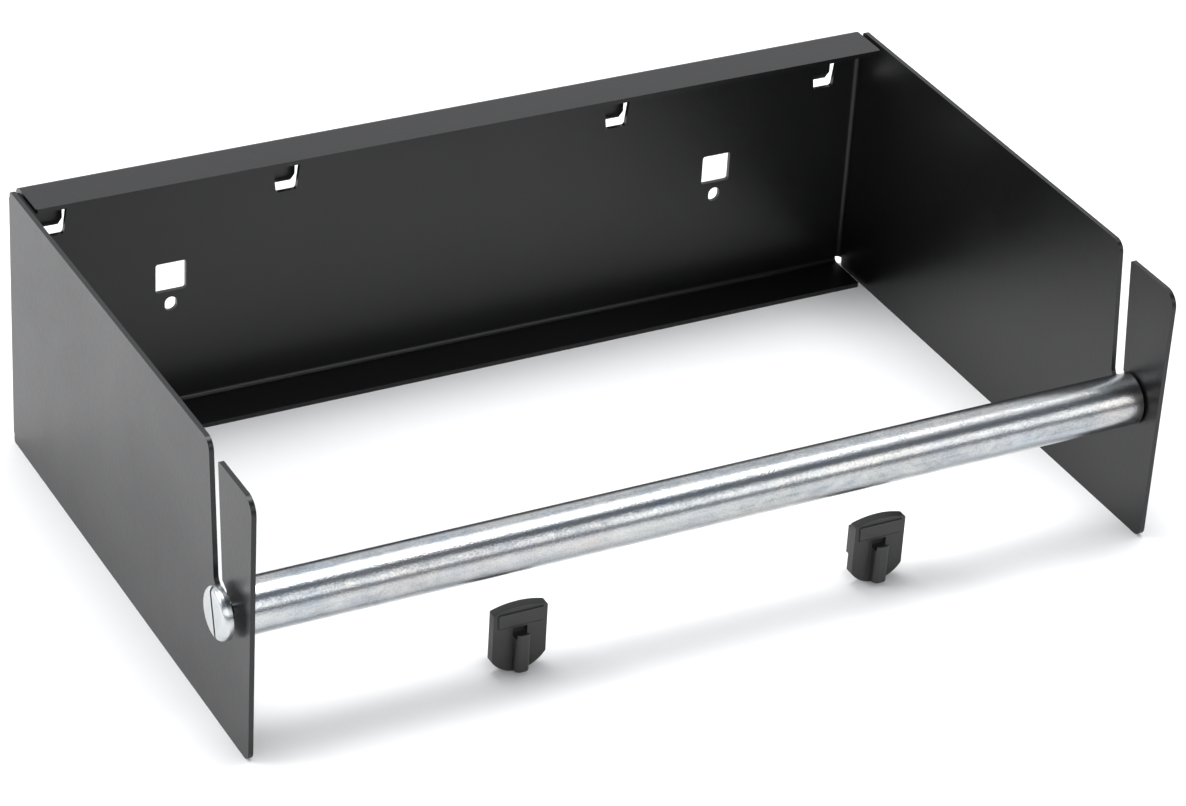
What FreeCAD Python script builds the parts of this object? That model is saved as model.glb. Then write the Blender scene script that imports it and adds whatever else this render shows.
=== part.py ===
import FreeCAD, Part
import Sketcher
import os
from FreeCAD import Rotation, Vector

# A folded sheet-steel roll holder that hooks into a panel of 10 mm square holes at a 38 mm pitch.
# X runs across the holder, +Y points into the wall and +Z up. The origin is the middle of the
# back plate's rear face.

doc = FreeCAD.newDocument("roll_holder")
sheet = doc.addObject("Spreadsheet::Sheet", "Sizes")
sheet.Label = "Sizes"

SIZES = {
    "pitch": 38,               # panel hole pitch
    "width": 294,              # over the side plates
    "height": 87,
    "depth": 183,              # wall to the side plates' front edge
    "gauge": 1.5,              # sheet thickness
    "bend_inner": 1.5,         # inside radius of every fold
    "top_flange": 16.8,
    "bottom_flange": 17.8,
    "flange_gap": 1.6,         # flange end to side plate
    "flange_corner": 0.5,
    "tab_drop": 2.5,           # the front tab is lower than the plate behind the slot
    "tab_start": 158.5,
    "slot_mouth_reach": 12,    # how far from tab_start the slot's mouth corners lie
    "back_corner": 1.2,
    "slot_corner": 3.8,
    "tab_point": 0.7,
    "front_top_corner": 5,
    "front_bottom_corner": 3,
    "square_hole": 10,
    "square_corner": 0.8,
    "square_up": 2.5,
    "oblong_width": 4,
    "oblong_height": 4.9,
    "oblong_up": -7,
    "oblong_flat": 0.04,       # least straight run between the rounded ends
    "window_bottom": 24.7,
    "window_top": 37,
    "window_top_half": 4.9,
    "window_bottom_half": 3.45,
    "window_corner": 1,
    "tongue_width": 8.6,
    "tongue_gap": 2.1,         # a 2 mm panel, with a little room
    "tongue_root": 0.8,        # overlap of the tongue and the plate above the window
    "tongue_clear": 0.15,      # the tongue leaves the rear face this far below the window's top
    "tongue_bend_up": 34,
    "tongue_bend_rise": 0.9,
    "tongue_taper_up": 28.1,
    "tongue_bottom": 25.7,
    "tongue_tip_half": 3.3,
    "tongue_lead_in": 0.9,
    "axle_back": 169.5,        # wall to axle, seated
    "axle_up": -1.5,
    "knee_back": 161,          # where the slot turns forward into the seat
    "knee_up": 3,
    "mouth_back": 156.9,
    "mouth_up": 44,
    "slot_width": 6.2,
    "neck_radius": 2.3,
    "head_radius": 8,
    "head_thick": 2.9,
    "head_gap": 2.2,
    "head_round": 1.8,
    "screw_slot": 1.1,
    "screw_slot_deep": 1.1,
    "screw_slot_turn": 15,
    "shank_radius": 2.5,
    "shank_long": 12,
    "rod_radius": 4,
    "rod_gap": 0.6,            # rod end to side plate
    "tube_radius": 8,
    "tube_wall": 1.5,
    "tube_gap": 0.8,
    "bush_long": 10,
    "bush_clear": 0.05,
    "clip_wide": 17,
    "clip_tall": 22,
    "clip_thick": 3,
    "clip_side_bottom": 4.6,   # where the clip's rounded foot starts
    "clip_side_top": 20.6,
    "clip_corner": 0.5,
    "field_wide": 14.2,
    "field_tall": 4.4,
    "field_up": 15.9,
    "field_proud": 0.5,
    "groove_tall": 0.45,       # the groove under the raised field
    "groove_deep": 0.6,
    "rib_wide": 4.5,
    "rib_bottom": 1.2,
    "rib_top": 13.8,
    "rib_proud": 3.2,
    "rib_round": 1.6,
    "lip_thick": 0.9,          # what the finger scoop leaves of the rib's front
    "scoop_floor": 12.4,
    "scoop_top": 14.8,
    "scoop_deep": 1.5,         # into the clip's plate
    "shaft_wide": 9.4,
    "shaft_long": 7,
    "shaft_up": 10.2,
    "barb_long": 2,
    "barb_out": 0.5,
    "clip_side": 59,
    "clip_front": 172,
}
for row, (alias, value) in enumerate(SIZES.items(), start=1):
    sheet.set("A%d" % row, alias)
    sheet.set("B%d" % row, str(value))
    sheet.setAlias("B%d" % row, alias)
doc.recompute()

PLANES = {"XY": "XY_Plane", "XZ": "XZ_Plane", "YZ": "YZ_Plane"}
START, END = 1, 2


def sized(expression):
    """Point every size word in an expression at its spreadsheet cell."""
    words = []
    for word in expression.split():
        bare = word.strip("()")
        words.append(word.replace(bare, "Sizes." + bare) if bare in SIZES else word)
    return " ".join(words)


def value_of(expression):
    return float(sheet.evalExpression(sized(expression)))


def new_body(label):
    body = doc.addObject("PartDesign::Body", label)
    body.Label = label
    return body


def new_sketch(body, plane, offset="0"):
    """A sketch on one of the body's own base planes, moved along the plane's normal."""
    sketch = body.newObject("Sketcher::SketchObject", body.Label + "_sketch")
    support = [o for o in body.Origin.OriginFeatures if o.Role == PLANES[plane]][0]
    sketch.AttachmentSupport = [(support, "")]
    sketch.MapMode = "FlatFace"
    sketch.setExpression("AttachmentOffset.Base.z", sized(offset))
    return sketch


def pin_point(sketch, geometry, end, across, up):
    """Hold a point at two expressions, measured from the sketch's origin."""
    for kind, expression in (("DistanceX", across), ("DistanceY", up)):
        amount = value_of(expression)
        index = sketch.addConstraint(Sketcher.Constraint(kind, -1, 1, geometry, end, amount))
        sketch.setExpression("Constraints[%d]" % index, sized(expression))


def outline(sketch, corners):
    """A closed outline of straight lines through corners given as pairs of expressions."""
    points = [Vector(value_of(across), value_of(up), 0) for across, up in corners]
    first = sketch.GeometryCount
    for here, there in zip(points, points[1:] + points[:1]):
        sketch.addGeometry(Part.LineSegment(here, there))
    for step, (across, up) in enumerate(corners):
        pin_point(sketch, first + step, START, across, up)
        before = first + (step - 1) % len(corners)
        sketch.addConstraint(Sketcher.Constraint("Coincident", before, END, first + step, START))


def feature(body, kind, sketch, length, symmetric=False, backward=False):
    """A pad or pocket of the sketch, centred on it or to one side."""
    made = body.newObject("PartDesign::" + kind, body.Label + "_" + kind.lower())
    made.Profile = sketch
    made.setExpression("Length", sized(length))
    made.Midplane = symmetric
    made.Reversed = backward
    made.Refine = True
    sketch.Visibility = False
    doc.recompute()
    return made


def dress(body, kind, size, chosen):
    """Fillet or chamfer the edges of the body's tip that the test chooses."""
    base = body.Tip
    names = ["Edge%d" % n for n, edge in enumerate(base.Shape.Edges, start=1) if chosen(edge)]
    if not names:
        raise RuntimeError("no edge to dress on " + body.Label)
    made = body.newObject("PartDesign::" + kind, body.Label + "_" + kind.lower())
    made.Base = (base, names)
    made.setExpression("Radius" if kind == "Fillet" else "Size", sized(size))
    doc.recompute()
    return made


def along(edge, axis):
    """Whether an edge is straight and runs along X, Y or Z."""
    if not isinstance(edge.Curve, Part.Line):
        return False
    direction = edge.Curve.Direction
    return abs(abs(getattr(direction, axis)) - 1) < 1e-6


def near(edge, reach=0.01, **place):
    """Whether an edge's middle has the given coordinates, ignoring their signs on x."""
    middle = edge.CenterOfMass
    for axis, wanted in place.items():
        got = abs(middle.x) if axis == "x" else getattr(middle, axis)
        if abs(got - wanted) > reach:
            return False
    return True


def slot_outline(body, ends, length):
    """Cut a round-ended slot through both side plates, between two places in the YZ plane."""
    (back_one, up_one), (back_two, up_two) = ends
    sketch = new_sketch(body, "YZ")
    start = Vector(-value_of(back_one), value_of(up_one), 0)
    stop = Vector(-value_of(back_two), value_of(up_two), 0)
    radius = value_of("slot_width / 2")
    run = (stop - start).normalize()
    side = Vector(-run.y, run.x, 0) * radius
    sketch.addGeometry(Part.LineSegment(start + side, stop + side))
    sketch.addGeometry(Part.Arc(stop + side, stop + run * radius, stop - side))
    sketch.addGeometry(Part.LineSegment(stop - side, start - side))
    sketch.addGeometry(Part.Arc(start - side, start - run * radius, start + side))
    centre = 3
    for arc, across, up in ((1, back_two, up_two), (3, back_one, up_one)):
        pin_point(sketch, arc, centre, "-1 * " + across, up)
    for line, arc in ((0, 1), (1, 2), (2, 3), (3, 0)):
        meet_one = END if line in (0, 2) else arc_end(sketch, line, arc)
        meet_two = arc_end(sketch, arc, line) if arc in (1, 3) else START
        sketch.addConstraint(Sketcher.Constraint("Tangent", line, meet_one, arc, meet_two))
    held = sketch.addConstraint(Sketcher.Constraint("Radius", 1, radius))
    sketch.setExpression("Constraints[%d]" % held, sized("slot_width / 2"))
    return feature(body, "Pocket", sketch, length, symmetric=True)


def arc_end(sketch, arc, line):
    """Which end of an arc touches a line that it was drawn against."""
    for arc_side in (START, END):
        for line_side in (START, END):
            gap = sketch.getPoint(arc, arc_side) - sketch.getPoint(line, line_side)
            if gap.Length < 1e-6:
                return arc_side
    raise RuntimeError("the arc does not meet the line")


def make_bracket():
    body = new_body("bracket")
    bend_outer = "( bend_inner + gauge )"
    half = "height / 2"

    # the vertical folds, which stop short of the corners
    folds = new_sketch(body, "XY")
    edge, inside = "width / 2", "width / 2 - gauge"
    outline(folds, [
        ("0 - " + edge, "0"), (edge, "0"),
        (edge, "0 - 2 * " + bend_outer), (inside, "0 - 2 * " + bend_outer),
        (inside, "0 - gauge"), ("gauge - " + edge, "0 - gauge"),
        ("gauge - " + edge, "0 - 2 * " + bend_outer), ("0 - " + edge, "0 - 2 * " + bend_outer),
    ])
    feature(body, "Pad", folds, "height - 2 * " + bend_outer, symmetric=True)
    side = value_of(edge)
    gauge = value_of("gauge")
    inner_side = value_of(inside)
    dress(body, "Fillet", "bend_inner + gauge", lambda e: along(e, "z") and near(e, x=side, y=0))
    dress(body, "Fillet", "bend_inner",
          lambda e: along(e, "z") and near(e, x=inner_side, y=-gauge))

    # back plate with the two flanges
    channel = new_sketch(body, "YZ")
    outline(channel, [
        ("0", "0 - " + half), ("0", half),
        ("0 - top_flange", half), ("0 - top_flange", half + " - gauge"),
        ("0 - gauge", half + " - gauge"), ("0 - gauge", "gauge - " + half),
        ("0 - bottom_flange", "gauge - " + half), ("0 - bottom_flange", "0 - " + half),
    ])
    feature(body, "Pad", channel, "width - 2 * gauge - 2 * flange_gap", symmetric=True)
    edge_up = value_of(half)
    inner_up = value_of(half + " - gauge")
    dress(body, "Fillet", "bend_inner + gauge",
          lambda e: along(e, "x") and any(near(e, y=0, z=side * edge_up) for side in (1, -1)))
    dress(body, "Fillet", "bend_inner",
          lambda e: along(e, "x") and any(near(e, y=-gauge, z=side * inner_up) for side in (1, -1)))
    dress(body, "Chamfer", "flange_corner",
          lambda e: along(e, "z") and e.CenterOfMass.y < -value_of("top_flange") / 2)

    # side plates
    for offset in ("0 - width / 2", "width / 2 - gauge"):
        plate = new_sketch(body, "YZ", offset)
        outline(plate, [
            ("0 - " + bend_outer, "0 - " + half), ("0 - " + bend_outer, half),
            ("0 - depth", half), ("0 - depth", "0 - " + half),
        ])
        feature(body, "Pad", plate, "gauge")
    right_through = "2 * width"
    lower_tab = new_sketch(body, "YZ")
    outline(lower_tab, [
        ("0 - tab_start", half + " - tab_drop"), ("0 - tab_start", "height"),
        ("0 - 2 * depth", "height"), ("0 - 2 * depth", half + " - tab_drop"),
    ])
    feature(body, "Pocket", lower_tab, right_through, symmetric=True)
    knee = ("knee_back", "knee_up")
    slot_outline(body, [("mouth_back", "mouth_up"), knee], right_through)
    slot_outline(body, [knee, ("axle_back", "axle_up")], right_through)

    tab_up = value_of(half + " - tab_drop")
    depth = value_of("depth")
    fold_end = value_of(bend_outer)
    top_of_slot = value_of("tab_start")
    mouth_reach = value_of("slot_mouth_reach")
    mouth_edges = [e for e in body.Tip.Shape.Edges
                   if along(e, "x") and abs(e.CenterOfMass.y + top_of_slot) < mouth_reach]
    slot_back = -max(e.CenterOfMass.y for e in mouth_edges if near(e, z=edge_up))
    tip_back = -min(e.CenterOfMass.y for e in mouth_edges if near(e, z=tab_up))
    dress(body, "Fillet", "slot_corner", lambda e: along(e, "x") and near(e, y=-slot_back, z=edge_up))
    dress(body, "Fillet", "tab_point", lambda e: along(e, "x") and near(e, y=-tip_back, z=tab_up))
    dress(body, "Fillet", "front_top_corner", lambda e: along(e, "x") and near(e, y=-depth, z=tab_up))
    dress(body, "Fillet", "front_bottom_corner",
          lambda e: along(e, "x") and near(e, y=-depth, z=-edge_up))
    dress(body, "Fillet", "back_corner",
          lambda e: along(e, "x") and abs(e.CenterOfMass.x) > inner_side
          and any(near(e, y=-fold_end, z=side_up * edge_up) for side_up in (1, -1)))

    cut_holes(body)
    for steps in (-3.5, -1.5, 1.5, 3.5):
        add_hook(body, "%s * pitch" % steps)
    return body


def cut_holes(body):
    """Square clip holes with a screw slot under each."""
    squares = new_sketch(body, "XZ")
    for place in ("-2.5 * pitch", "2.5 * pitch"):
        left, right = place + " - square_hole / 2", place + " + square_hole / 2"
        low, high = "square_up - square_hole / 2", "square_up + square_hole / 2"
        outline(squares, [(left, low), (right, low), (right, high), (left, high)])
    feature(body, "Pocket", squares, "4 * gauge", symmetric=True)
    reach = value_of("square_hole / 2")
    centre_up = value_of("square_up")
    centre_side = value_of("2.5 * pitch")
    dress(body, "Fillet", "square_corner",
          lambda e: along(e, "y") and abs(abs(abs(e.CenterOfMass.x) - centre_side) - reach) < 0.01
          and abs(abs(e.CenterOfMass.z - centre_up) - reach) < 0.01)
    ovals = new_sketch(body, "XZ")
    for place in ("-2.5 * pitch", "2.5 * pitch"):
        left, right = place + " - oblong_width / 2", place + " + oblong_width / 2"
        low, high = "oblong_up - oblong_height / 2", "oblong_up + oblong_height / 2"
        outline(ovals, [(left, low), (right, low), (right, high), (left, high)])
    feature(body, "Pocket", ovals, "4 * gauge", symmetric=True)
    half_wide = value_of("oblong_width / 2")
    half_tall = value_of("oblong_height / 2")
    middle_up = value_of("oblong_up")
    dress(body, "Fillet", "oblong_width / 2 - oblong_flat / 2",
          lambda e: along(e, "y") and abs(abs(abs(e.CenterOfMass.x) - centre_side) - half_wide) < 0.01
          and abs(abs(e.CenterOfMass.z - middle_up) - half_tall) < 0.01)


def add_hook(body, place):
    """A window in the back plate, with its tongue joggled back behind the panel."""
    window = new_sketch(body, "XZ")
    outline(window, [
        (place + " - window_bottom_half", "window_bottom"), (place + " + window_bottom_half", "window_bottom"),
        (place + " + window_top_half", "window_top"), (place + " - window_top_half", "window_top"),
    ])
    feature(body, "Pocket", window, "4 * gauge", symmetric=True)
    corner = value_of("window_bottom_half")
    middle = value_of(place)
    low = value_of("window_bottom")
    dress(body, "Fillet", "window_corner",
          lambda e: along(e, "y") and abs(abs(e.CenterOfMass.x - middle) - corner) < 0.01
          and abs(e.CenterOfMass.z - low) < 0.01)

    tongue = new_sketch(body, "YZ", place + " - tongue_width / 2")
    near_side, far_side = "tongue_gap", "tongue_gap + gauge"
    inset = "0 - tongue_clear"
    outline(tongue, [
        ("0 - gauge", "window_top + tongue_root"), ("0 - gauge", "window_top - tongue_root"),
        (near_side, "tongue_bend_up"), (near_side, "tongue_taper_up"),
        (near_side + " + tongue_lead_in", "tongue_bottom"), (far_side + " + tongue_lead_in", "tongue_bottom"),
        (far_side, "tongue_taper_up"), (far_side, "tongue_bend_up + tongue_bend_rise"),
        (inset, "window_top"), (inset, "window_top + tongue_root"),
    ])
    feature(body, "Pad", tongue, "tongue_width")

    taper = new_sketch(body, "XZ", "0 - tongue_gap / 2")
    for sign in ("-1", "1"):
        reach = place + " + " + sign + " * "
        outline(taper, [
            (reach + "tongue_width", "tongue_taper_up"), (reach + "tongue_width / 2", "tongue_taper_up"),
            (reach + "tongue_tip_half", "tongue_bottom"), (reach + "tongue_tip_half", "window_bottom"),
            (reach + "tongue_width", "window_bottom"),
        ])
    feature(body, "Pocket", taper, "tongue_width")


def turned(label, profile):
    """A body turned about X from an outline of (along X, radius) pairs, at the axle's place."""
    body = new_body(label)
    sketch = new_sketch(body, "XY")
    outline(sketch, profile)
    turn = body.newObject("PartDesign::Revolution", label + "_turn")
    turn.Profile = sketch
    turn.ReferenceAxis = (sketch, ["H_Axis"])
    turn.Angle = 360
    sketch.Visibility = False
    doc.recompute()
    return body


def at_axle(body, turn=0):
    """Put a body that was turned about X onto the axle's line."""
    body.setExpression("Placement.Base.y", sized("0 - axle_back"))
    body.setExpression("Placement.Base.z", sized("axle_up"))
    body.Placement.Rotation = Rotation(Vector(0, 0, 1), turn)
    return body


def make_screw(label, turn):
    """A shoulder screw with a wide flat slotted head, drawn for the right-hand end."""
    inner = "( width / 2 - gauge )"
    face = "( width / 2 + head_gap )"
    top = face + " + head_thick"
    rod_end = inner + " - rod_gap"
    body = turned(label, [
        (rod_end + " - shank_long", "0"), (top, "0"), (top, "head_radius"),
        (face, "head_radius"), (face, "neck_radius"),
        (rod_end, "neck_radius"), (rod_end, "shank_radius"), (rod_end + " - shank_long", "shank_radius"),
    ])
    head_top = value_of(top)
    dress(body, "Fillet", "head_round",
          lambda e: not isinstance(e.Curve, Part.Line) and abs(e.CenterOfMass.x - head_top) < 0.01)
    cut = new_sketch(body, "YZ", top)
    outline(cut, [
        ("0 - screw_slot / 2", "0 - 2 * head_radius"), ("screw_slot / 2", "0 - 2 * head_radius"),
        ("screw_slot / 2", "2 * head_radius"), ("0 - screw_slot / 2", "2 * head_radius"),
    ])
    cut.setExpression("AttachmentOffset.Rotation.Angle", sized("screw_slot_turn"))
    feature(body, "Pocket", cut, "screw_slot_deep")
    return at_axle(body, turn)


def make_rod():
    end = "( width / 2 - gauge - rod_gap )"
    bore = "( width / 2 - gauge - rod_gap - shank_long )"
    body = turned("axle_rod", [
        ("0 - " + end, "shank_radius"), ("0 - " + end, "rod_radius"), (end, "rod_radius"),
        (end, "shank_radius"), (bore, "shank_radius"), (bore, "0"),
        ("0 - " + bore, "0"), ("0 - " + bore, "shank_radius"),
    ])
    return at_axle(body)


def make_tube():
    end = "( width / 2 - gauge - tube_gap )"
    body = turned("roller_tube", [
        ("0 - " + end, "tube_radius - tube_wall"), ("0 - " + end, "tube_radius"),
        (end, "tube_radius"), (end, "tube_radius - tube_wall"),
    ])
    return at_axle(body)


def make_bush(label, side):
    """A plain bearing bush, flush with the tube's end."""
    outer = side + " * ( width / 2 - gauge - tube_gap )"
    inner = side + " * ( width / 2 - gauge - tube_gap - bush_long )"
    body = turned(label, [
        (inner, "rod_radius + bush_clear"), (inner, "tube_radius - tube_wall"),
        (outer, "tube_radius - tube_wall"), (outer, "rod_radius + bush_clear"),
    ])
    return at_axle(body)


def make_clip(label, side):
    """A moulded plug with a grip rib and a square shaft that locks the holder to its panel."""
    body = new_body(label)
    plate = new_sketch(body, "XZ")
    half, tall = value_of("clip_wide / 2"), value_of("clip_tall")
    low, high = value_of("clip_side_bottom"), value_of("clip_side_top")
    plate.addGeometry(Part.LineSegment(Vector(half, low, 0), Vector(half, high, 0)))
    plate.addGeometry(Part.Arc(Vector(half, high, 0), Vector(0, tall, 0), Vector(-half, high, 0)))
    plate.addGeometry(Part.LineSegment(Vector(-half, high, 0), Vector(-half, low, 0)))
    plate.addGeometry(Part.Arc(Vector(-half, low, 0), Vector(0, 0, 0), Vector(half, low, 0)))
    pin_point(plate, 0, START, "clip_wide / 2", "clip_side_bottom")
    pin_point(plate, 0, END, "clip_wide / 2", "clip_side_top")
    pin_point(plate, 2, START, "-1 * clip_wide / 2", "clip_side_top")
    pin_point(plate, 2, END, "-1 * clip_wide / 2", "clip_side_bottom")
    for line, arc in ((0, 1), (2, 3)):
        sketch_end = arc_end(plate, arc, line)
        plate.addConstraint(Sketcher.Constraint("Coincident", line, END, arc, sketch_end))
    for line, arc in ((2, 1), (0, 3)):
        sketch_end = arc_end(plate, arc, line)
        plate.addConstraint(Sketcher.Constraint("Coincident", line, START, arc, sketch_end))
    for arc, expression in ((1, "clip_tall"), (3, "0")):
        crest = plate.addGeometry(Part.Point(Vector(0, value_of(expression), 0)))
        plate.setConstruction(crest, True)
        pin_point(plate, crest, START, "0", expression)
        plate.addConstraint(Sketcher.Constraint("PointOnObject", crest, START, arc))
    feature(body, "Pad", plate, "clip_thick", backward=True)
    dress(body, "Fillet", "clip_corner", lambda e: along(e, "y") and abs(abs(e.CenterOfMass.x) - half) < 0.01)

    field = new_sketch(body, "XZ")
    outline(field, [
        ("0 - field_wide / 2", "field_up"), ("field_wide / 2", "field_up"),
        ("field_wide / 2", "field_up + field_tall"), ("0 - field_wide / 2", "field_up + field_tall"),
    ])
    feature(body, "Pad", field, "field_proud")
    groove = new_sketch(body, "XZ")
    outline(groove, [
        ("0 - field_wide / 2", "field_up - groove_tall"), ("field_wide / 2", "field_up - groove_tall"),
        ("field_wide / 2", "field_up"), ("0 - field_wide / 2", "field_up"),
    ])
    feature(body, "Pocket", groove, "groove_deep")

    rib = new_sketch(body, "YZ", "0 - rib_wide / 2")
    outline(rib, [
        ("0", "rib_bottom"), ("0", "rib_top"), ("0 - rib_proud", "rib_top"), ("0 - rib_proud", "rib_bottom"),
    ])
    feature(body, "Pad", rib, "rib_wide")
    proud = value_of("rib_proud")
    dress(body, "Fillet", "rib_round", lambda e: along(e, "z") and abs(e.CenterOfMass.y + proud) < 0.01)

    scoop = new_sketch(body, "YZ")
    outline(scoop, [
        ("scoop_deep", "scoop_floor"), ("scoop_deep", "scoop_top"),
        ("0 - rib_proud + lip_thick", "scoop_top"), ("0 - rib_proud + lip_thick", "scoop_floor"),
    ])
    feature(body, "Pocket", scoop, "rib_wide", symmetric=True)

    shaft = new_sketch(body, "XZ", "0 - clip_thick")
    outline(shaft, square_corners("shaft_wide", "shaft_up"))
    feature(body, "Pad", shaft, "shaft_long", backward=True)
    barb = new_sketch(body, "YZ", "0 - shaft_wide / 4")
    tip, root = "clip_thick + shaft_long", "clip_thick + shaft_long - barb_long"
    for sign in ("-1", "1"):
        wall = "shaft_up + " + sign + " * shaft_wide / 2"
        outline(barb, [
            (root, wall), (root, wall + " + " + sign + " * barb_out"), (tip, wall),
        ])
    feature(body, "Pad", barb, "shaft_wide / 2")

    body.setExpression("Placement.Base.x", sized(side + " * clip_side"))
    body.setExpression("Placement.Base.y", sized("0 - clip_front"))
    body.setExpression("Placement.Base.z", sized("0 - height / 2"))
    return body


def square_corners(wide, up):
    reach = wide + " / 2"
    return [
        ("0 - " + reach, up + " - " + reach), (reach, up + " - " + reach),
        (reach, up + " + " + reach), ("0 - " + reach, up + " + " + reach),
    ]


nodes = [
    make_bracket(),
    make_rod(),
    make_tube(),
    make_bush("left_bush", "-1"),
    make_bush("right_bush", "1"),
    make_screw("left_axle_screw", 180),
    make_screw("right_axle_screw", 0),
    make_clip("left_lock_clip", "-1"),
    make_clip("right_lock_clip", "1"),
]
doc.recompute()

for thing in doc.Objects:
    if "Invalid" in thing.State or "Error" in thing.State:
        raise RuntimeError("%s did not recompute: %s" % (thing.Label, thing.State))

os.makedirs("parts", exist_ok=True)
for node in nodes:
    shape = node.Shape
    if shape.isNull() or not shape.isValid():
        raise RuntimeError("bad shape: " + node.Label)
    shape.exportStep("parts/%s.step" % node.Label)
    box = shape.BoundBox
    print("%-18s solids %d  x %.1f..%.1f  y %.1f..%.1f  z %.1f..%.1f" % (
        node.Label, len(shape.Solids), box.XMin, box.XMax, box.YMin, box.YMax, box.ZMin, box.ZMax))
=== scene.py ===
import math

import bmesh
import bpy
from mathutils import Matrix, Vector


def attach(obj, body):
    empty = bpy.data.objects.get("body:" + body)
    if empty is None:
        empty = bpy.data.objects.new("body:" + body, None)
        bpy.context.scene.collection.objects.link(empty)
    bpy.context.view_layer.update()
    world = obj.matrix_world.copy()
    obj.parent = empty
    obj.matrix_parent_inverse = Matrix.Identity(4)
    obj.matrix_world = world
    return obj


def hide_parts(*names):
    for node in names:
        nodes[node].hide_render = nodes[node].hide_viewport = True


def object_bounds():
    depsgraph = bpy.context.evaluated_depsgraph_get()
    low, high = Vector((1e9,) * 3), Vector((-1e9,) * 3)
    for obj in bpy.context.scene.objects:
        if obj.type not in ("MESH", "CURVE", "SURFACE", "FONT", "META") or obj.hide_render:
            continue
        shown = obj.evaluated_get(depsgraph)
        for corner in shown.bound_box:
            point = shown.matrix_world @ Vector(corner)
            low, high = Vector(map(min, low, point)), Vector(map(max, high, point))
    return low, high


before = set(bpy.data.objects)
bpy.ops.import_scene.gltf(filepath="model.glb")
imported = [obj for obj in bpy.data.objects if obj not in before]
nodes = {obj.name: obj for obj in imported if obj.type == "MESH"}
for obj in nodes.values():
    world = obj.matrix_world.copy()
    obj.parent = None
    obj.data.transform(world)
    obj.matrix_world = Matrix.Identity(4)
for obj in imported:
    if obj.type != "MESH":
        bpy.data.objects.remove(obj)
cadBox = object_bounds()
print("frame loaded:", len(nodes), "nodes")


# node helpers: every tree below is built with these
def addNode(tree, kind, settings=None, **sockets):
    node = tree.nodes.new(kind)
    for name, value in (settings or {}).items():
        setattr(node, name, value)
    for name, value in sockets.items():
        socket = node.inputs[int(name[1:])] if name[0] == "_" else node.inputs[name]
        if isinstance(value, bpy.types.NodeSocket):
            tree.links.new(value, socket)
        else:
            socket.default_value = value
    return node


def addMath(tree, operation, first, second=0.0, clamp=False):
    settings = {"operation": operation, "use_clamp": clamp}
    return addNode(tree, "ShaderNodeMath", settings, _0=first, _1=second).outputs[0]


# a share of one mask and the rest of another
def addShares(tree, first, share, second):
    rest = addMath(tree, "MULTIPLY", second, 1.0 - share)
    return addMath(tree, "ADD", addMath(tree, "MULTIPLY", first, share), rest)


def addRamp(tree, value, stops, smooth=False):
    node = addNode(tree, "ShaderNodeValToRGB", _0=value)
    ramp = node.color_ramp
    ramp.interpolation = "EASE" if smooth else "LINEAR"
    while len(ramp.elements) < len(stops):
        ramp.elements.new(0.5)
    for element, (place, colour) in zip(ramp.elements, stops):
        element.position = place
        element.color = (*colour, 1.0)
    return node.outputs["Color"]


def addMix(tree, amount, first, second, blend="MIX"):
    node = addNode(tree, "ShaderNodeMix", {"data_type": "RGBA", "blend_type": blend})
    for socket, value in zip((node.inputs[0], node.inputs[6], node.inputs[7]), (amount, first, second)):
        if isinstance(value, bpy.types.NodeSocket):
            tree.links.new(value, socket)
        elif isinstance(value, tuple):
            socket.default_value = (*value, 1.0)
        else:
            socket.default_value = value
    return node.outputs[2]


def newGroup(name, inputs, outputs):
    tree = bpy.data.node_groups.new(name, "ShaderNodeTree")
    for label, kind, value in inputs:
        socket = tree.interface.new_socket(name=label, in_out="INPUT", socket_type=kind)
        socket.default_value = value
    for label, kind in outputs:
        tree.interface.new_socket(name=label, in_out="OUTPUT", socket_type=kind)
    entry = tree.nodes.new("NodeGroupInput")
    leave = tree.nodes.new("NodeGroupOutput")
    return tree, entry.outputs, leave.inputs


def useGroup(tree, group, values=None, links=None):
    node = tree.nodes.new("ShaderNodeGroup")
    node.node_tree = group
    for name, value in (values or {}).items():
        node.inputs[name].default_value = value
    for name, socket in (links or {}).items():
        tree.links.new(socket, node.inputs[name])
    return node.outputs


def newMaterial(name):
    material = bpy.data.materials.new(name)
    material.use_nodes = True
    tree = material.node_tree
    shader = tree.nodes["Principled BSDF"]
    place = tree.nodes.new("ShaderNodeTexCoord").outputs["Object"]
    return material, tree, shader, place


# a fine even pebble, from the orange peel of a sprayed coat down to a moulding's spark grain
def makeGrainGroup():
    tree, entry, leave = newGroup(
        "fineGrain",
        [("Place", "NodeSocketVector", (0, 0, 0)), ("Scale", "NodeSocketFloat", 1000.0),
         ("Detail", "NodeSocketFloat", 2.0), ("Floor", "NodeSocketFloat", 0.3),
         ("Ceiling", "NodeSocketFloat", 0.7)],
        [("Height", "NodeSocketFloat")],
    )
    noise = addNode(tree, "ShaderNodeTexNoise", Vector=entry["Place"], Scale=entry["Scale"],
                    Detail=entry["Detail"])
    span = addNode(tree, "ShaderNodeMapRange", _0=noise.outputs[0], _1=entry["Floor"], _2=entry["Ceiling"])
    tree.links.new(span.outputs[0], leave["Height"])
    return tree


cloudKit = {
    "detail": 5.0,
    "swirl": 0.6,
    "patchShare": 0.37,   # patches are this much coarser than the clouds
    "patchSlice": 3.7,
    "patchDetail": 3.0,
    "span": (0.32, 0.68),
}


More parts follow.
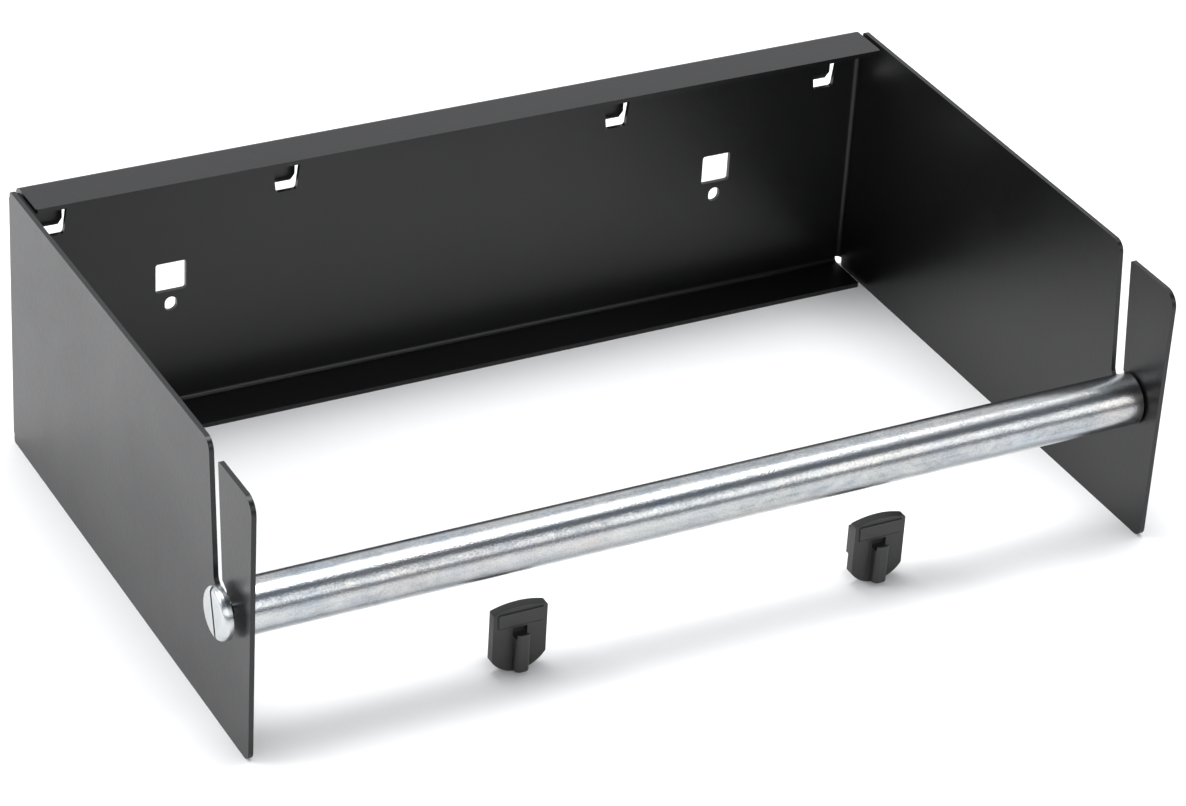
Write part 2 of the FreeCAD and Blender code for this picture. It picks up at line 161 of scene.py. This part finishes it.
# soft clouds with broken edges: plating mottle, uneven gloss, handling haze
def makeCloudGroup(kit):
    tree, entry, leave = newGroup(
        "softClouds",
        [("Place", "NodeSocketVector", (0, 0, 0)), ("Stretch", "NodeSocketVector", (1, 1, 1)),
         ("Scale", "NodeSocketFloat", 80.0), ("Break Up", "NodeSocketFloat", 0.5)],
        [("Clouds", "NodeSocketFloat"), ("Patches", "NodeSocketFloat")],
    )
    placed = addNode(tree, "ShaderNodeVectorMath", {"operation": "MULTIPLY"},
                     _0=entry["Place"], _1=entry["Stretch"])
    clouds = addNode(tree, "ShaderNodeTexNoise", Vector=placed.outputs[0], Scale=entry["Scale"],
                     Detail=kit["detail"], Roughness=entry["Break Up"], Distortion=kit["swirl"])
    wider = addMath(tree, "MULTIPLY", entry["Scale"], kit["patchShare"])
    patches = addNode(tree, "ShaderNodeTexNoise", {"noise_dimensions": "4D"}, Vector=placed.outputs[0],
                      Scale=wider, W=kit["patchSlice"], Detail=kit["patchDetail"],
                      Roughness=entry["Break Up"])
    low, high = kit["span"]
    for name, source in (("Clouds", clouds), ("Patches", patches)):
        span = addNode(tree, "ShaderNodeMapRange", _0=source.outputs[0], _1=low, _2=high)
        tree.links.new(span.outputs[0], leave[name])
    return tree


streakKit = {"detail": 6.0, "breakUp": 0.62, "span": (0.3, 0.7)}


# long fine lines left by drawing or turning
def makeStreakGroup(kit):
    tree, entry, leave = newGroup(
        "toolStreaks",
        [("Place", "NodeSocketVector", (0, 0, 0)), ("Spread", "NodeSocketVector", (8, 500, 500))],
        [("Streaks", "NodeSocketFloat")],
    )
    placed = addNode(tree, "ShaderNodeVectorMath", {"operation": "MULTIPLY"},
                     _0=entry["Place"], _1=entry["Spread"])
    broad = addNode(tree, "ShaderNodeTexNoise", Vector=placed.outputs[0], Scale=1.0,
                    Detail=kit["detail"], Roughness=kit["breakUp"])
    low, high = kit["span"]
    span = addNode(tree, "ShaderNodeMapRange", _0=broad.outputs[0], _1=low, _2=high)
    tree.links.new(span.outputs[0], leave["Streaks"])
    return tree


fineGrain = makeGrainGroup()
softClouds = makeCloudGroup(cloudKit)
toolStreaks = makeStreakGroup(streakKit)

powderCoat = {
    "deep": (0.0030, 0.0030, 0.0033),
    "pale": (0.0062, 0.0062, 0.0067),
    "ior": 1.44,
    "gloss": (0.28, 0.36),
    "clouds": {"Scale": 22.0, "Break Up": 0.55},
    "cloudShare": 0.7,    # of the uneven gloss; the peel gives the rest
    "peel": {"Scale": 620.0, "Detail": 1.5},
    "peelDepth": 0.000010,
    "specks": {"Scale": 2100.0, "Detail": 2.0},
    "specksDepth": 0.0000016,
}


def makePowderCoat(name, kit):
    material, tree, shader, place = newMaterial(name)
    clouds = useGroup(tree, softClouds, kit["clouds"], {"Place": place})
    peel = useGroup(tree, fineGrain, kit["peel"], {"Place": place})
    specks = useGroup(tree, fineGrain, kit["specks"], {"Place": place})
    tone = addMath(tree, "MULTIPLY", clouds["Patches"], specks["Height"])
    colour = addMix(tree, tone, kit["deep"], kit["pale"])
    tree.links.new(colour, shader.inputs["Base Color"])
    mixed = addShares(tree, clouds["Clouds"], kit["cloudShare"], peel["Height"])
    gloss = addNode(tree, "ShaderNodeMapRange", _0=mixed, _3=kit["gloss"][0], _4=kit["gloss"][1])
    tree.links.new(gloss.outputs[0], shader.inputs["Roughness"])
    fine = addNode(tree, "ShaderNodeBump", Height=specks["Height"], Distance=kit["specksDepth"])
    wavy = addNode(tree, "ShaderNodeBump", Height=peel["Height"], Distance=kit["peelDepth"],
                   Normal=fine.outputs[0])
    tree.links.new(wavy.outputs[0], shader.inputs["Normal"])
    shader.inputs["IOR"].default_value = kit["ior"]
    return material


zincSpread = {
    "mottle": {"Scale": 210.0, "Stretch": (0.55, 1, 1), "Break Up": 0.62},
    "tint": {"Scale": 95.0, "Stretch": (0.45, 1, 1)},
    "pitDetail": 3.0,
    "pitShare": 0.5,      # of the wear that the pits darken
    "wear": 0.7,
    "streakHaze": 0.6,    # of the haze; the mottle gives the rest
}
zincTube = {
    "base": (0.61, 0.61, 0.585),
    "dull": (0.17, 0.20, 0.23),
    "blue": (0.46, 0.51, 0.57),
    "rose": (0.60, 0.55, 0.52),
    "straw": (0.65, 0.62, 0.52),
    "gloss": (0.18, 0.30),
    "streaks": (7.0, 420.0, 420.0),
    "lineDepth": 0.000008,
    "pitScale": 1900.0,
    "pitDepth": 0.000018,
}
zincScrew = {
    "base": (0.60, 0.615, 0.61),
    "dull": (0.46, 0.475, 0.475),
    "blue": (0.53, 0.59, 0.66),
    "rose": (0.62, 0.59, 0.57),
    "straw": (0.64, 0.625, 0.56),
    "gloss": (0.17, 0.30),
    "streaks": (9.0, 9.0, 9.0),
    "lineDepth": 0.000002,
    "pitScale": 1500.0,
    "pitDepth": 0.000002,
}


def makeZinc(name, kit, spread):
    material, tree, shader, place = newMaterial(name)
    mottle = useGroup(tree, softClouds, spread["mottle"], {"Place": place})
    tint = useGroup(tree, softClouds, spread["tint"], {"Place": place})
    streak = useGroup(tree, toolStreaks, {"Spread": kit["streaks"]}, {"Place": place})
    pitting = {"Scale": kit["pitScale"], "Detail": spread["pitDetail"]}
    specks = useGroup(tree, fineGrain, pitting, {"Place": place})
    cool = addMix(tree, tint["Clouds"], kit["base"], kit["blue"])
    warm = addRamp(tree, tint["Patches"], [(0.0, kit["rose"]), (0.5, kit["base"]), (1.0, kit["straw"])])
    hue = addMix(tree, mottle["Patches"], cool, warm)
    wear = addMath(tree, "MULTIPLY", streak["Streaks"], mottle["Clouds"])
    pitted = addMath(tree, "MULTIPLY", specks["Height"], spread["pitShare"])
    shade = addMath(tree, "ADD", wear, pitted)
    colour = addMix(tree, addMath(tree, "MULTIPLY", shade, spread["wear"], True), hue, kit["dull"])
    tree.links.new(colour, shader.inputs["Base Color"])
    haze = addShares(tree, streak["Streaks"], spread["streakHaze"], mottle["Clouds"])
    gloss = addNode(tree, "ShaderNodeMapRange", _0=haze, _3=kit["gloss"][0], _4=kit["gloss"][1])
    tree.links.new(gloss.outputs[0], shader.inputs["Roughness"])
    lines = addNode(tree, "ShaderNodeBump", Height=streak["Streaks"], Distance=kit["lineDepth"])
    pits = addNode(tree, "ShaderNodeBump", Height=specks["Height"], Distance=kit["pitDepth"],
                   Normal=lines.outputs[0])
    tree.links.new(pits.outputs[0], shader.inputs["Normal"])
    shader.inputs["Metallic"].default_value = 1.0
    return material


mouldSpread = {
    "clouds": {"Scale": 160.0, "Break Up": 0.6},
    "cloudShare": 0.6,    # of the tone; the grain gives the rest
    "grain": {"Scale": 1700.0, "Detail": 3.0},
    "grainDepth": 0.000012,
    "ior": 1.5,
}
clipPlastic = {"deep": (0.014, 0.0138, 0.0133), "pale": (0.027, 0.0265, 0.0255), "gloss": (0.42, 0.58)}
bushPlastic = {"deep": (0.20, 0.205, 0.21), "pale": (0.27, 0.275, 0.28), "gloss": (0.42, 0.55)}


def makePlastic(name, kit, spread):
    material, tree, shader, place = newMaterial(name)
    clouds = useGroup(tree, softClouds, spread["clouds"], {"Place": place})
    grain = useGroup(tree, fineGrain, spread["grain"], {"Place": place})
    tone = addShares(tree, clouds["Clouds"], spread["cloudShare"], grain["Height"])
    tree.links.new(addMix(tree, tone, kit["deep"], kit["pale"]), shader.inputs["Base Color"])
    gloss = addNode(tree, "ShaderNodeMapRange", _0=tone, _3=kit["gloss"][0], _4=kit["gloss"][1])
    tree.links.new(gloss.outputs[0], shader.inputs["Roughness"])
    bump = addNode(tree, "ShaderNodeBump", Height=grain["Height"], Distance=spread["grainDepth"])
    tree.links.new(bump.outputs[0], shader.inputs["Normal"])
    shader.inputs["IOR"].default_value = spread["ior"]
    return material


finishes = {
    "bracket": makePowderCoat("blackPowderCoat", powderCoat),
    "tube": makeZinc("zincPlatedTube", zincTube, zincSpread),
    "screw": makeZinc("zincPlatedScrew", zincScrew, zincSpread),
    "clip": makePlastic("blackClipPlastic", clipPlastic, mouldSpread),
    "bush": makePlastic("greyBushPlastic", bushPlastic, mouldSpread),
}
print("finishes made:", ", ".join(finishes))


def dressNode(name, material):
    mesh = nodes[name].data
    mesh.materials.clear()
    mesh.materials.append(material)


dressNode("axle_rod", finishes["tube"])
dressNode("roller_tube", finishes["tube"])
for side in ("left", "right"):
    dressNode(side + "_bush", finishes["bush"])
    dressNode(side + "_axle_screw", finishes["screw"])

# the sheet and the clips again, with the soft edges that a sprayed coat and a mould leave
sheetEdge = {"width": 0.00035, "segments": 2, "sharper": math.radians(40), "weight": 100}
clipEdge = {"width": 0.00020, "segments": 3, "sharper": math.radians(35), "weight": 60}
mending = {"join": 0.000002, "flatter": math.radians(0.4)}


def softenEdges(name, source, body, material, edge):
    mesh = nodes[source].data.copy()
    shape = bmesh.new()
    shape.from_mesh(mesh)
    bmesh.ops.remove_doubles(shape, verts=shape.verts, dist=mending["join"])
    flatter = mending["flatter"]
    bmesh.ops.dissolve_limit(shape, angle_limit=flatter, verts=shape.verts, edges=shape.edges)
    shape.to_mesh(mesh)
    shape.free()
    mesh.materials.clear()
    mesh.materials.append(material)
    mesh.name = name
    piece = bpy.data.objects.new(name, mesh)
    bpy.context.scene.collection.objects.link(piece)
    mesh.shade_smooth()
    bevel = piece.modifiers.new("softEdge", "BEVEL")
    bevel.width = edge["width"]
    bevel.segments = edge["segments"]
    bevel.limit_method = "ANGLE"
    bevel.angle_limit = edge["sharper"]
    bevel.use_clamp_overlap = True
    facing = piece.modifiers.new("flatFaces", "WEIGHTED_NORMAL")
    facing.mode = "FACE_AREA"
    facing.weight = edge["weight"]
    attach(piece, body)
    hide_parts(source)


softenEdges("bracketSheet", "bracket", "bracket", finishes["bracket"], sheetEdge)
for side in ("left", "right"):
    softenEdges(side + "ClipMoulding", side + "_lock_clip", side + "_clip",
                finishes["clip"], clipEdge)
print("pieces dressed")

# a pale floor under everything
floorKit = {
    "side": 14.0,
    "deep": (0.86, 0.86, 0.86),
    "pale": (0.90, 0.90, 0.90),
    "cloudScale": 2.0,
    "roughness": 0.9,
    "shine": 0.1,
}


def makeFloor(kit, level):
    material, tree, shader, place = newMaterial("paleFloor")
    clouds = useGroup(tree, softClouds, {"Scale": kit["cloudScale"]}, {"Place": place})
    tree.links.new(addMix(tree, clouds["Clouds"], kit["deep"], kit["pale"]), shader.inputs["Base Color"])
    shader.inputs["Roughness"].default_value = kit["roughness"]
    shader.inputs["Specular IOR Level"].default_value = kit["shine"]
    half = kit["side"] / 2
    mesh = bpy.data.meshes.new("floor")
    corners = [(-half, -half, level), (half, -half, level), (half, half, level), (-half, half, level)]
    mesh.from_pydata(corners, [], [(0, 1, 2, 3)])
    mesh.materials.append(material)
    floor = bpy.data.objects.new("floor", mesh)
    bpy.context.scene.collection.objects.link(floor)


makeFloor(floorKit, cadBox[0].z)

# studio: a sky in long soft strips that lie along the roller, front horizon to back horizon
skyStrips = [
    (0.00, (0.13, 0.15, 0.19)),
    (0.075, (0.13, 0.15, 0.19)),
    (0.105, (2.00, 2.00, 2.00)),
    (0.235, (2.00, 2.00, 2.00)),
    (0.270, (0.11, 0.13, 0.165)),
    (0.435, (0.13, 0.15, 0.185)),
    (0.480, (0.86, 0.87, 0.90)),
    (0.80, (0.98, 0.99, 1.02)),
    (1.00, (1.00, 1.00, 1.00)),
]


def makeSky(strips):
    world = bpy.data.worlds.new("studioSky")
    world.use_nodes = True
    tree = world.node_tree
    background = tree.nodes["Background"]
    place = tree.nodes.new("ShaderNodeTexCoord").outputs["Generated"]
    parts = addNode(tree, "ShaderNodeSeparateXYZ", _0=place).outputs
    front = addMath(tree, "MULTIPLY", parts[1], -1.0)
    turn = addMath(tree, "ARCTAN2", parts[2], front)
    share = addMath(tree, "DIVIDE", turn, math.pi)
    colour = addRamp(tree, share, strips, smooth=True)
    seen = addNode(tree, "ShaderNodeLightPath").outputs["Is Camera Ray"]
    tree.links.new(addMix(tree, seen, colour, (1.0, 1.0, 1.0)), background.inputs["Color"])
    background.inputs["Strength"].default_value = 1.0
    bpy.context.scene.world = world


makeSky(skyStrips)


topSoftbox = {"place": (0.1, 0.12, 1.5), "target": (0, -0.08, 0), "size": (1.4, 0.7), "power": 22.0}
leftSoftbox = {"place": (-1.4, 0.5, 0.9), "target": (-0.35, 0.15, -0.04), "size": (0.8, 0.8), "power": 12.0}


def addSoftbox(name, kit):
    light = bpy.data.lights.new(name, "AREA")
    light.shape = "RECTANGLE"
    light.size, light.size_y = kit["size"]
    light.energy = kit["power"]
    box = bpy.data.objects.new(name, light)
    box.location = kit["place"]
    aim = Vector(kit["target"]) - Vector(kit["place"])
    box.rotation_euler = aim.to_track_quat("-Z", "Y").to_euler()
    bpy.context.scene.collection.objects.link(box)


addSoftbox("topSoftbox", topSoftbox)
addSoftbox("leftSoftbox", leftSoftbox)

# the lens stands high and to the left, rolled a little
cameraKit = {
    "place": (-0.523326, -1.038414, 0.642163),
    "around": math.radians(-29.150),
    "up": math.radians(31.216),
    "roll": math.radians(3.588),
    "lens": 127.7,
    "sensor": 36.0,
    "nearest": 0.01,
}


def placeCamera(kit):
    around, up, roll = kit["around"], kit["up"], kit["roll"]
    back = Vector((math.sin(around) * math.cos(up), -math.cos(around) * math.cos(up), math.sin(up)))
    right = Vector((math.cos(around), math.sin(around), 0))
    above = back.cross(right)
    turnedRight = right * math.cos(roll) + above * math.sin(roll)
    turnedUp = above * math.cos(roll) - right * math.sin(roll)
    lens = bpy.data.cameras.new("studioCamera")
    lens.sensor_width = kit["sensor"]
    lens.lens = kit["lens"]
    lens.clip_start = kit["nearest"]
    camera = bpy.data.objects.new("studioCamera", lens)
    turn = Matrix((turnedRight, turnedUp, back)).transposed().to_4x4()
    camera.matrix_world = Matrix.Translation(kit["place"]) @ turn
    bpy.context.scene.collection.objects.link(camera)
    bpy.context.scene.camera = camera


placeCamera(cameraKit)
bpy.context.scene.view_settings.view_transform = "Standard"
print("studio set")
